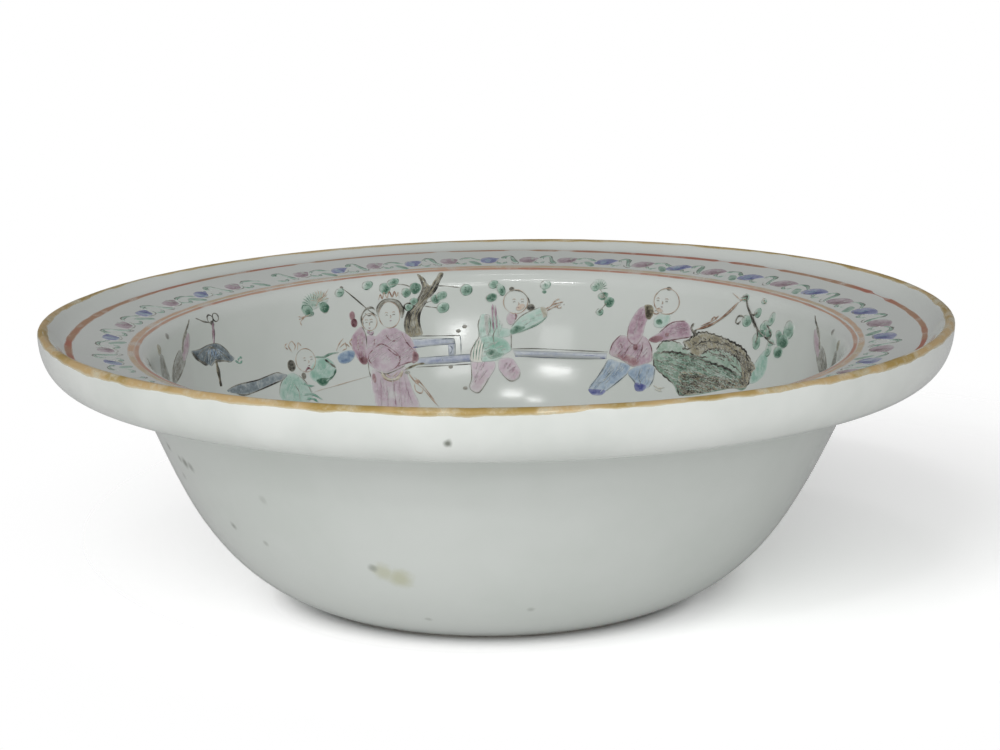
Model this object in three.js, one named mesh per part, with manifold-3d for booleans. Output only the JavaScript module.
// A porcelain wash basin with a broad rim: thrown clay body, a glaze coat over it, and on the glaze a
// gilt lip, iron-red lines, a scroll border and a garden scene in raised enamels.
// Millimetres, +Z up, origin at the centre of the circle that the basin stands on.
import * as THREE from "three";
import { mergeVertices } from "three/addons/utils/BufferGeometryUtils.js";
import { TessellateModifier } from "three/addons/modifiers/TessellateModifier.js";
import Module from "manifold-3d";

// Driving sizes of the glazed form
const RIM_RADIUS = 185;
const HEIGHT = 115;
const FOOT_RADIUS = 75.5;
const NECK_RADIUS = 147;
const NECK_DROP = 24.5;
const RIM_FACE_DEPTH = 22.8;
const WALL = 7;
const FLOOR_HEIGHT = 8.5;
const LIP_WIDTH = 4.4;
const LIP_RISE = 7;
const LIP_SLOPE = 9.8;
const FLANGE_FALL = 3.5;
const MOUTH_STEP = 7;
const MOUTH_DROP = 6;
const FLOOR_CORNER = 16;
const FOOT_RING_WIDTH = 9;
const FOOT_RECESS = 3.4;
const RECESS_SLOPE = 2;
const BARE_FOOT = 1.6;

// Sizes of the layers on the clay
const GLAZE = 0.4;
const GLAZE_SEAT = 0.1;
const ENAMEL_SEAT = 0.3;
const ENAMEL = 0.35;
const GILT_WIDTH = 3.4;
const OUTER_LINE_INSET = 11.4;
const OUTER_LINE_WIDTH = 2.4;
const INNER_LINE_OUTSET = 1.5;
const INNER_LINE_WIDTH = 1.3;
const INNER_LINE_PITCH = 2.8;
const BORDER_REPEATS = 24;
const BORDER_PLACE = 0.4;
const BORDER_BUD = 4.2;
const BORDER_STEM = 0.9;
const BORDER_SWAY = 1.8;
const STATIONS_PER_REPEAT = 8;
const TURNS = 56;

const CREST_RADIUS = RIM_RADIUS - LIP_WIDTH / 2;
const NECK_Z = HEIGHT - NECK_DROP;
const FACE_FOOT_Z = HEIGHT - RIM_FACE_DEPTH;
const MOUTH_RADIUS = NECK_RADIUS - WALL;
const FLANGE_OUTER_RADIUS = CREST_RADIUS - LIP_SLOPE;
const FLANGE_OUTER_Z = HEIGHT - LIP_RISE;
const FLANGE_INNER_RADIUS = MOUTH_RADIUS + MOUTH_STEP;
const FLANGE_INNER_Z = FLANGE_OUTER_Z - FLANGE_FALL;
const MOUTH_Z = FLANGE_INNER_Z - MOUTH_DROP;
const INNER_LINE_RADIUS = FLANGE_INNER_RADIUS - INNER_LINE_OUTSET;
const OUTER_LINE_RADIUS = RIM_RADIUS - OUTER_LINE_INSET;
const OCHRE_LINE_RADIUS = INNER_LINE_RADIUS + INNER_LINE_PITCH;
const BORDER_RADIUS = OCHRE_LINE_RADIUS + BORDER_PLACE * (OUTER_LINE_RADIUS - OCHRE_LINE_RADIUS);

const wasm = await Module();
wasm.setup();

const at = (r, z) => new THREE.Vector2(r, z);

function bend(from, handle1, handle2, to, steps) {
  return new THREE.CubicBezierCurve(from, handle1, handle2, to).getPoints(steps);
}

// The outside of the bowl, from the foot up to the neck under the rim
function wallOutside() {
  const spread = NECK_RADIUS - FOOT_RADIUS;
  return bend(
    at(FOOT_RADIUS, 0),
    at(FOOT_RADIUS + 0.6 * spread, 0.162 * NECK_Z),
    at(NECK_RADIUS - 0.257 * spread, 0.569 * NECK_Z),
    at(NECK_RADIUS, NECK_Z),
    6,
  );
}

// The cove under the rim, the tall rounded face of its edge, and the lip up to its crest
function rimOutside() {
  const overhang = RIM_RADIUS - NECK_RADIUS;
  const faceFoot = at(RIM_RADIUS - 0.45 * overhang, FACE_FOOT_Z);
  const shoulderZ = HEIGHT - LIP_WIDTH / 2;
  const cove = bend(
    at(NECK_RADIUS, NECK_Z),
    at(NECK_RADIUS + 0.03 * overhang, NECK_Z + 0.35 * NECK_DROP),
    at(NECK_RADIUS + 0.23 * overhang, FACE_FOOT_Z + 0.38 * RIM_FACE_DEPTH),
    faceFoot,
    3,
  );
  const face = bend(
    faceFoot,
    at(RIM_RADIUS - 0.23 * overhang, FACE_FOOT_Z),
    at(RIM_RADIUS - 0.01 * overhang, FACE_FOOT_Z + 0.27 * RIM_FACE_DEPTH),
    at(RIM_RADIUS, shoulderZ),
    4,
  );
  const lip = bend(
    at(RIM_RADIUS, shoulderZ),
    at(RIM_RADIUS, HEIGHT - 0.2 * LIP_WIDTH),
    at(CREST_RADIUS + 0.25 * LIP_WIDTH, HEIGHT),
    at(CREST_RADIUS, HEIGHT),
    2,
  );
  return [...cove.slice(1), ...face.slice(1), ...lip.slice(1)];
}

// The upturned lip and the flat flange that slopes down to the mouth of the bowl
function flange() {
  const lip = bend(
    at(CREST_RADIUS, HEIGHT),
    at(CREST_RADIUS - 0.22 * LIP_SLOPE, HEIGHT),
    at(CREST_RADIUS - 0.5 * LIP_SLOPE, FLANGE_OUTER_Z + 0.13 * LIP_RISE),
    at(FLANGE_OUTER_RADIUS, FLANGE_OUTER_Z),
    3,
  );
  const shoulder = bend(
    at(FLANGE_INNER_RADIUS, FLANGE_INNER_Z),
    at(MOUTH_RADIUS + 0.43 * MOUTH_STEP, FLANGE_INNER_Z - 0.1 * MOUTH_DROP),
    at(MOUTH_RADIUS + 0.14 * MOUTH_STEP, MOUTH_Z + 0.58 * MOUTH_DROP),
    at(MOUTH_RADIUS, MOUTH_Z),
    2,
  );
  return [...lip, ...shoulder];
}

// The inside of the bowl, from its mouth down to the middle of the floor
function bowlInside() {
  const spread = MOUTH_RADIUS - FOOT_RADIUS;
  const fall = MOUTH_Z - FLOOR_HEIGHT;
  const wall = bend(
    at(MOUTH_RADIUS, MOUTH_Z),
    at(MOUTH_RADIUS - 0.115 * spread, MOUTH_Z - 0.47 * fall),
    at(FOOT_RADIUS + 0.54 * spread, FLOOR_HEIGHT + 0.01 * fall),
    at(FOOT_RADIUS - FLOOR_CORNER, FLOOR_HEIGHT),
    7,
  );
  return [...wall.slice(1), at(0, FLOOR_HEIGHT)];
}

// The glazed surface: where the glaze ends above the foot, up the outside, over the rim, down the bowl
function glazedSurface() {
  const wall = wallOutside();
  const rise = wall[1].clone().sub(wall[0]).normalize();
  const glazeEdge = wall[0].clone().addScaledVector(rise, BARE_FOOT);
  return [glazeEdge, ...wall.slice(1), ...rimOutside(), ...flange().slice(1), ...bowlInside()];
}

// The same line moved straight into the clay by a depth, with its corners mitred
function sunk(line, depth) {
  const last = line.length - 1;
  return line.map((point, i) => {
    const before = line[i].clone().sub(line[Math.max(i - 1, 0)]);
    const after = line[Math.min(i + 1, last)].clone().sub(line[i]);
    const way = i === 0 ? after : i === last ? before : before.normalize().add(after.normalize());
    const corner = i === 0 || i === last ? 1 : way.length() / 2;
    way.normalize();
    return at(point.x - (way.y * depth) / corner, point.y + (way.x * depth) / corner);
  });
}

// A turned solid from a half section that starts and ends on the axis, or closes on itself
function turned(name, section, material) {
  const closed = section[0].x > 0 ? [...section, section[0]] : section;
  const geometry = new THREE.LatheGeometry(closed, TURNS);
  geometry.rotateX(Math.PI / 2);
  const mesh = new THREE.Mesh(geometry, material);
  mesh.name = name;
  return mesh;
}

const glazed = glazedSurface();
const glazeUnderside = sunk(glazed, GLAZE);
const clayTop = sunk(glazed, GLAZE + GLAZE_SEAT);
for (const line of [glazeUnderside, clayTop]) {
  line[line.length - 1].x = 0;
}

// The clay: a flat bare ring to stand on, a shallow recess inside it, and the thrown wall and rim
function clayBody(material) {
  const ringInner = FOOT_RADIUS - FOOT_RING_WIDTH;
  const ringOuter = wallOutside()[0].x - GLAZE;
  const recess = [at(0, FOOT_RECESS), at(ringInner - RECESS_SLOPE, FOOT_RECESS)];
  const ring = [at(ringInner, 0), at(ringOuter, 0)];
  return turned("clay_body", [...recess, ...ring, ...clayTop], material);
}

function glazeCoat(material) {
  return turned("glaze_coat", [...[...glazeUnderside].reverse(), ...glazed], material);
}

function baseGlaze(material) {
  const radius = FOOT_RADIUS - FOOT_RING_WIDTH - 2 * RECESS_SLOPE;
  const top = FOOT_RECESS - GLAZE_SEAT;
  const section = [at(0, top - GLAZE), at(radius, top - GLAZE), at(radius, top), at(0, top)];
  return turned("base_glaze", section, material);
}

// The glazed surface from the crest of the lip inwards, and the direction that faces away from it
const upperSide = glazed.slice(glazed.findIndex((p) => p.y === HEIGHT));

function away(outer, inner) {
  const run = inner.clone().sub(outer).normalize();
  return at(run.y, -run.x);
}

function onFlange(radius, lift) {
  const i = upperSide.findIndex((p) => p.x < radius);
  const [outer, inner] = [upperSide[i - 1], upperSide[i]];
  const share = (outer.x - radius) / (outer.x - inner.x);
  return outer.clone().lerp(inner, share).addScaledVector(away(outer, inner), lift);
}

// The turned solids have flat sides all round, so a point that lies on one is nearer the axis
function aroundAxis(point, angle) {
  const side = (2 * Math.PI) / TURNS;
  const offMiddle = (((angle % side) + side) % side) - side / 2;
  const radius = (point.x * Math.cos(side / 2)) / Math.cos(offMiddle);
  return [radius * Math.sin(angle), radius * Math.cos(angle), point.y];
}

// A painted line: a thin band of enamel that lies on the rim between two radii
function paintedLine(name, radius, width, material) {
  const radii = [radius - width / 2, radius + width / 2];
  const between = upperSide.map((p) => p.x).filter((r) => r > radii[0] + 0.1 && r < radii[1] - 0.1);
  const stops = [radii[0], ...between.reverse(), radii[1]];
  const low = stops.map((r) => onFlange(r, ENAMEL_SEAT));
  const high = stops.map((r) => onFlange(r, ENAMEL_SEAT + ENAMEL));
  return turned(name, [...low, ...high.reverse()], material);
}

// The border: one wavy vine all round the flange that swells into a bud at the top of each wave
function scrollBorder(material) {
  const stations = BORDER_REPEATS * STATIONS_PER_REPEAT;
  const positions = [];
  const index = [];
  for (let i = 0; i < stations; i++) {
    const angle = (2 * Math.PI * i) / stations;
    const wave = Math.cos(2 * BORDER_REPEATS * angle);
    const middle = BORDER_RADIUS + BORDER_SWAY * Math.cos(BORDER_REPEATS * angle);
    const half = BORDER_STEM + (BORDER_BUD - BORDER_STEM) * Math.max(wave, 0);
    const corners = [
      onFlange(middle - half, ENAMEL_SEAT),
      onFlange(middle + half, ENAMEL_SEAT),
      onFlange(middle + half, ENAMEL_SEAT + ENAMEL),
      onFlange(middle - half, ENAMEL_SEAT + ENAMEL),
    ];
    for (const c of corners) {
      positions.push(...aroundAxis(c, angle));
    }
    for (let side = 0; side < 4; side++) {
      const a = 4 * i + side;
      const b = 4 * i + ((side + 1) % 4);
      const c = (4 * (i + 1) + ((side + 1) % 4)) % (4 * stations);
      const d = (4 * (i + 1) + side) % (4 * stations);
      index.push(a, b, c, a, c, d);
    }
  }
  const geometry = new THREE.BufferGeometry();
  geometry.setAttribute("position", new THREE.Float32BufferAttribute(positions, 3));
  geometry.setIndex(index);
  geometry.computeVertexNormals();
  const mesh = new THREE.Mesh(geometry, material);
  mesh.name = "scroll_border";
  return mesh;
}

// The garden scene is drawn flat, in drawing millimetres: x round the wall, y up it from the mouth.
// It grows with the mouth of the bowl, so that the motifs keep their places round it.
const DRAWN_MOUTH_RADIUS = 140;
const DRAWN_RADIUS = 135;
const DRAWING_SCALE = MOUTH_RADIUS / DRAWN_MOUTH_RADIUS;
const LONGEST_EDGE = 15;
const TURN_START = -3;
const TURN_FINENESS = 6;

function blob(...points) {
  const knots = points.map(([x, y]) => new THREE.Vector3(x, y, 0));
  const outline = new THREE.CatmullRomCurve3(knots, true).getPoints(2 * knots.length).slice(1);
  return new THREE.Shape(outline.map((p) => at(p.x, p.y)));
}

function patch(...points) {
  return new THREE.Shape(points.map(([x, y]) => at(x, y)));
}

function round(x, y, wide, tall = wide) {
  return new THREE.Shape(new THREE.EllipseCurve(x, y, wide, tall).getPoints(8).slice(1));
}

function stroke(width, ...points) {
  const path = new THREE.SplineCurve(points.map(([x, y]) => at(x, y)));
  const steps = 2 * (points.length - 1);
  const sides = [[], []];
  for (let i = 0; i <= steps; i++) {
    const middle = path.getPoint(i / steps);
    const along = path.getTangent(i / steps);
    sides[0].push(at(middle.x - (along.y * width) / 2, middle.y + (along.x * width) / 2));
    sides[1].push(at(middle.x + (along.y * width) / 2, middle.y - (along.x * width) / 2));
  }
  return new THREE.Shape([...sides[0], ...sides[1].reverse()]);
}

function flatPlate(shape) {
  const geometry = new THREE.ExtrudeGeometry(shape, { depth: 1, bevelEnabled: false });
  geometry.deleteAttribute("normal");
  geometry.deleteAttribute("uv");
  const welded = mergeVertices(geometry, 1e-4);
  const vertProperties = welded.attributes.position.array;
  const triVerts = new Uint32Array(welded.index.array);
  return new wasm.Manifold(new wasm.Mesh({ numProp: 3, vertProperties, triVerts }));
}

// A point of the bowl's inner wall at a distance down from the mouth, lifted off the glaze
function onWall(depth, lift) {
  let i = upperSide.findIndex((p) => p.x === MOUTH_RADIUS);
  let left = depth;
  while (left < 0) {
    i -= 1;
    left += upperSide[i].distanceTo(upperSide[i + 1]);
  }
  while (left > upperSide[i].distanceTo(upperSide[i + 1])) {
    left -= upperSide[i].distanceTo(upperSide[i + 1]);
    i += 1;
  }
  const [upper, lower] = [upperSide[i], upperSide[i + 1]];
  const share = left / upper.distanceTo(lower);
  return upper.clone().lerp(lower, share).addScaledVector(away(upper, lower), lift);
}

// A flat solid cut into short triangles, shorter still where the wall turns over into the rim
function cutFine(flat, spotY) {
  const place = flat.attributes.position;
  const turn = TURN_START - spotY;
  for (let i = 0; i < place.count; i++) {
    const y = place.getY(i);
    place.setY(i, y > turn ? turn + (y - turn) * TURN_FINENESS : y);
  }
  const fine = new TessellateModifier(LONGEST_EDGE, 24).modify(flat);
  fine.deleteAttribute("normal");
  fine.deleteAttribute("uv");
  const geometry = mergeVertices(fine, 1e-4);
  const cut = geometry.attributes.position;
  for (let i = 0; i < cut.count; i++) {
    const y = cut.getY(i);
    cut.setY(i, y > turn ? turn + (y - turn) / TURN_FINENESS : y);
  }
  return geometry;
}

// One motif in raised enamel: its flat shapes joined, cut fine and laid on the wall.
// The spot is [x, y] of the motif's own origin, and facing -1 draws it the other way round.
function enamel(name, spot, shapes, material, facing = 1) {
  const joined = shapes.map(flatPlate).reduce((whole, plate) => whole.add(plate)).getMesh();
  const flat = new THREE.BufferGeometry();
  flat.setAttribute("position", new THREE.Float32BufferAttribute(joined.vertProperties, 3));
  flat.setIndex([...joined.triVerts]);
  const geometry = cutFine(flat, spot[1]);
  const place = geometry.attributes.position;
  for (let i = 0; i < place.count; i++) {
    const angle = (spot[0] + facing * place.getX(i)) / DRAWN_RADIUS;
    const depth = -DRAWING_SCALE * (spot[1] + place.getY(i));
    place.setXYZ(i, ...aroundAxis(onWall(depth, ENAMEL_SEAT + ENAMEL * place.getZ(i)), angle));
  }
  if (facing < 0) {
    geometry.setIndex([...geometry.index.array].reverse());
  }
  geometry.computeVertexNormals();
  const mesh = new THREE.Mesh(geometry, material);
  mesh.name = name;
  return mesh;
}

const reeds = () => [
  blob([20, 13], [14, 6], [9, 1], [8, -4], [-2, -9], [-10, -11], [-14, -9], [-4, -2], [3.5, 2], [10, 8.5]),
  blob([-18, 12], [-17, 2], [-12, -11], [-20, -12], [-22, 0]),
];

const lotus = () => [
  blob([-18, 2], [-12, 1.5], [-5, 2.5], [2, 1], [7, -2], [12, -7], [5, -8], [-3, -6.5], [-8, -6],
    [-15, -2]),
  stroke(1.6, [3, 13.5], [1.6, 6], [0, -1]),
  stroke(1.4, [-8, 14.5], [-4, 12.5], [2.5, 10.5]),
  round(1, 13.8, 1.9),
  round(5, 13.8, 1.9),
  stroke(2, [0, -5], [-1.5, -11], [-4, -19]),
];

const bench = () => [
  patch([-20, -2], [-7, -5.5], [11, -3], [11, 0.5], [0, 1.5], [-16, 1]),
  patch([-16, -1], [-12, -1], [-13, -13], [-16, -13]),
];

const crouchingBoy = () => [
  blob([-8, 3], [-12, -1], [-16, -6], [-17, -12], [-8, -15], [1, -14], [2, -6], [-1, 0]),
  blob([5, 7], [13, 8], [17, 5], [17, 1], [12, -4], [6, -5], [1, -3]),
  round(2, 5, 5),
  round(-4.4, 4.5, 2.2, 2.5),
  stroke(1.4, [13, 6.5], [17, 7.5], [20, 8.5]),
];

const nurseAndChild = () => [
  blob([-16, 9], [-12, 11], [-9, 8], [-10, 0], [-12, -6], [-17, -5], [-19, -1], [-19, 5]),
  blob([-12, 8], [-5, 10], [2, 10], [8, 9], [11, 4], [13, -3], [12, -8], [8, -9], [-2, -11], [-11, -8]),
  blob([-11, -8], [8, -8], [8, -18], [10, -27], [8, -36], [-9, -36], [-10, -24]),
  patch([-25, 0], [-17, 0.5], [-17, -4], [-22, -5], [-25, -4]),
  round(2, 15, 5.2, 6),
  round(-8, 13, 3.6, 4.2),
  round(-15.6, 14.5, 1.6, 4),
  stroke(1.2, [-15.5, 12], [-15, 9], [-14.5, 6]),
  stroke(1.1, [-19, 28], [-12, 21.5], [-8, 14]),
  stroke(1.1, [7, -8], [13, -18], [20, -27]),
];

const tree = () => [
  patch([-7, -11], [-8, -6], [-5.5, -2.5], [-2.5, 2], [0, 6], [-2, 10.5], [0, 11.5], [3, 8], [6, 11.5],
    [9, 12], [5, 6], [2, -1], [0, -6], [-1, -11.5]),
  stroke(1.2, [0, 4], [-7, 7], [-15, 9.5]),
  stroke(1.2, [3, 4], [11, 4.5], [19, 7]),
  round(-15, 9.5, 3.4),
  round(-8, 7.5, 3),
  round(-7, 2, 2.6),
  round(8, 1.5, 3.4),
  round(13, 5.5, 2.8),
  round(20, 7, 3),
  stroke(1.2, [-6, 2.5], [-3, 1.5], [0, 1]),
];

const leafSpray = () => [
  stroke(1.1, [-6, -6], [0, -1], [5, 5]),
  round(5, 4.5, 2.8),
  round(-1, 3, 2.6),
  round(-3.5, -2, 2.8),
  round(5.5, -1, 2.6),
  stroke(1.1, [0, 0], [3, -0.5], [6, -1]),
  stroke(1.1, [0, -1], [0, 1], [-1, 3]),
];

const fenceWithFret = () => [
  patch([-9, 7], [11, 6], [11, -4], [7, -4], [7, 2.5], [-9, 3]),
  patch([-9, -3], [13.3, -3], [13.3, -7], [-9, -7]),
];

const runningBoy = () => [
  blob([-7, 11], [-3, 11], [0, 8], [6, 8], [8, 1], [7, -6], [4, -9], [-2, -10.5], [-10.5, -10],
    [-9.5, -3], [-7.5, 4]),
  blob([6, 0], [11, 8], [17, 11], [23, 13], [24, 9], [19, 6], [12, 3], [9, 1]),
  blob([-11, -9], [-1, -9], [0, -14], [-4, -20], [-9, -25], [-13, -23], [-10, -18]),
  blob([-1, -8], [8, -8], [12, -13], [12, -17], [7, -19], [2, -14]),
  round(9, 16, 5),
  round(7.5, 9.5, 3),
  stroke(1.6, [22, 11], [25, 13], [28, 15]),
  stroke(1.3, [-1.5, 9], [-1, 15], [0, 22]),
  round(-1, 18.5, 2.4),
  round(1, 23.5, 2.8),
];

const longRail = () => [patch([-20, 1], [20.5, 1], [20.5, -2.4], [-20, -2.4])];

const boyWithPole = () => [
  blob([-7, 15], [-2, 16], [0, 9], [5, 7], [7, 1], [3, -6], [-3, -9], [-8, -10], [-14, -7], [-18.5, -5],
    [-17, -1], [-13, 3], [-11, 8]),
  blob([3, 3], [7, 8], [12, 12], [18, 12], [22, 10], [21, 7], [12, 4]),
  blob([-18.5, -5.5], [-9, -7], [-9, -14], [-14, -18], [-20, -23], [-22, -26], [-27, -25], [-28, -22],
    [-23, -18], [-21, -12]),
  blob([-8, -8], [3, -5], [3.6, -13], [3.6, -18], [2, -21], [-3, -21], [-6, -18], [-8, -13]),
  round(5, 21, 5.4),
  round(4, 12, 3.8, 5.6),
  stroke(1.2, [19, 9.5], [30, 12], [37, 17], [44, 25]),
];

const gardenRock = () => [
  blob([-18, 6], [-12, 8.5], [-6, 10.5], [2, 11], [11, 10], [18, 8], [24, 5], [25.5, 0], [24.5, -7],
    [20, -12], [0, -8]),
  blob([-28, 0], [-22, 2], [-16, 2], [-5, 3], [5, 1], [14, -1], [20, -4], [21, -9], [8, -14], [-10, -18],
    [-16, -15], [-20, -12], [-26, -7]),
  blob([-27.5, 2], [-26, 5.5], [-21, 6], [-12, 4], [-18, 0], [-25, -1]),
];

const leafyPlant = () => [
  stroke(1.6, [-16, 12], [-10, 4], [-3, -1], [0, -9]),
  round(-14, 10, 3.4, 3),
  round(-15, 4.5, 2.6),
  stroke(1.1, [-15, 5], [-12, 6], [-10, 4]),
  blob([-2, -2], [-1, 8], [4, 4.5], [2, -3]),
  blob([16, 8], [19, 6], [14.5, -1], [10, -7], [7, -6], [8, 0]),
  stroke(1.3, [-1, -6], [4, -6], [9, -4]),
  blob([-1, -7], [2, -9], [5, -13], [5, -18], [0, -20], [-1, -14]),
];

const paint = (color, roughness = 0.35) => new THREE.MeshStandardMaterial({ color, roughness });
const clay = new THREE.MeshStandardMaterial({ color: 0xe6e2d8, roughness: 0.8 });
const glaze = new THREE.MeshStandardMaterial({ color: 0xdde3de, roughness: 0.12 });
const recessGlaze = new THREE.MeshStandardMaterial({ color: 0xd6ddd8, roughness: 0.14 });
const gilding = new THREE.MeshStandardMaterial({ color: 0xc29a44, roughness: 0.4, metalness: 0.4 });
const ironRed = paint(0xb5654a, 0.45);
const ochre = paint(0xc79a72, 0.45);
const borderBlue = paint(0x8f94bb);
const inkGrey = paint(0x74757a);
const smokeBlue = paint(0x6f7f95);
const turquoise = paint(0x9cc9bb);
const rose = paint(0xb98ca6);
const bark = paint(0x5e5544);
const leafGreen = paint(0x4f9478);
const railBlue = paint(0x8d97b8);
const robeBlue = paint(0x7c93bd);
const mossGreen = paint(0x5d7a62);

const basin = new THREE.Group();

basin.add(clayBody(clay), glazeCoat(glaze), baseGlaze(recessGlaze));
basin.add(
  paintedLine("gilt_lip_line", CREST_RADIUS - GILT_WIDTH / 2, GILT_WIDTH, gilding),
  paintedLine("outer_red_line", OUTER_LINE_RADIUS, OUTER_LINE_WIDTH, ironRed),
  paintedLine("inner_red_line", INNER_LINE_RADIUS, INNER_LINE_WIDTH, ironRed),
  paintedLine("inner_ochre_line", OCHRE_LINE_RADIUS, INNER_LINE_WIDTH, ochre),
  scrollBorder(borderBlue),
);

// The far half of the scene, from left to right
basin.add(
  enamel("reeds", [-180, -10], reeds(), inkGrey),
  enamel("lotus", [-146, -12], lotus(), smokeBlue),
  enamel("bench", [-125, -31], bench(), smokeBlue),
  enamel("crouching_boy", [-95, -33], crouchingBoy(), turquoise),
  enamel("leaf_spray_left", [-84, -3], leafSpray(), leafGreen),
  enamel("nurse_and_child", [-49, -26], nurseAndChild(), rose),
  enamel("tree", [-31, -8], tree(), bark),
  enamel("fence_with_fret", [-26, -28], fenceWithFret(), railBlue),
  enamel("running_boy", [0, -24], runningBoy(), turquoise),
  enamel("long_rail", [32, -30], longRail(), railBlue),
  enamel("leaf_spray_right", [50, -6], leafSpray(), leafGreen, -1),
  enamel("boy_with_pole", [74, -24], boyWithPole(), robeBlue),
  enamel("garden_rock", [108, -28], gardenRock(), mossGreen),
  enamel("leafy_plant", [140, -10], leafyPlant(), leafGreen),
);

// The near half repeats motifs the other way round, as a painter does who works from one pattern sheet
basin.add(
  enamel("reeds_near", [192, -10], reeds(), inkGrey, -1),
  enamel("rock_near", [246, -28], gardenRock(), mossGreen, -1),
  enamel("tree_near", [300, -8], tree(), bark, -1),
  enamel("running_boy_near", [352, -24], runningBoy(), turquoise, -1),
  enamel("fence_near", [384, -28], fenceWithFret(), railBlue, -1),
  enamel("nurse_near", [424, -26], nurseAndChild(), rose, -1),
  enamel("boy_with_pole_near", [540, -24], boyWithPole(), robeBlue, -1),
  enamel("lotus_near", [610, -12], lotus(), smokeBlue, -1),
);

export default basin;
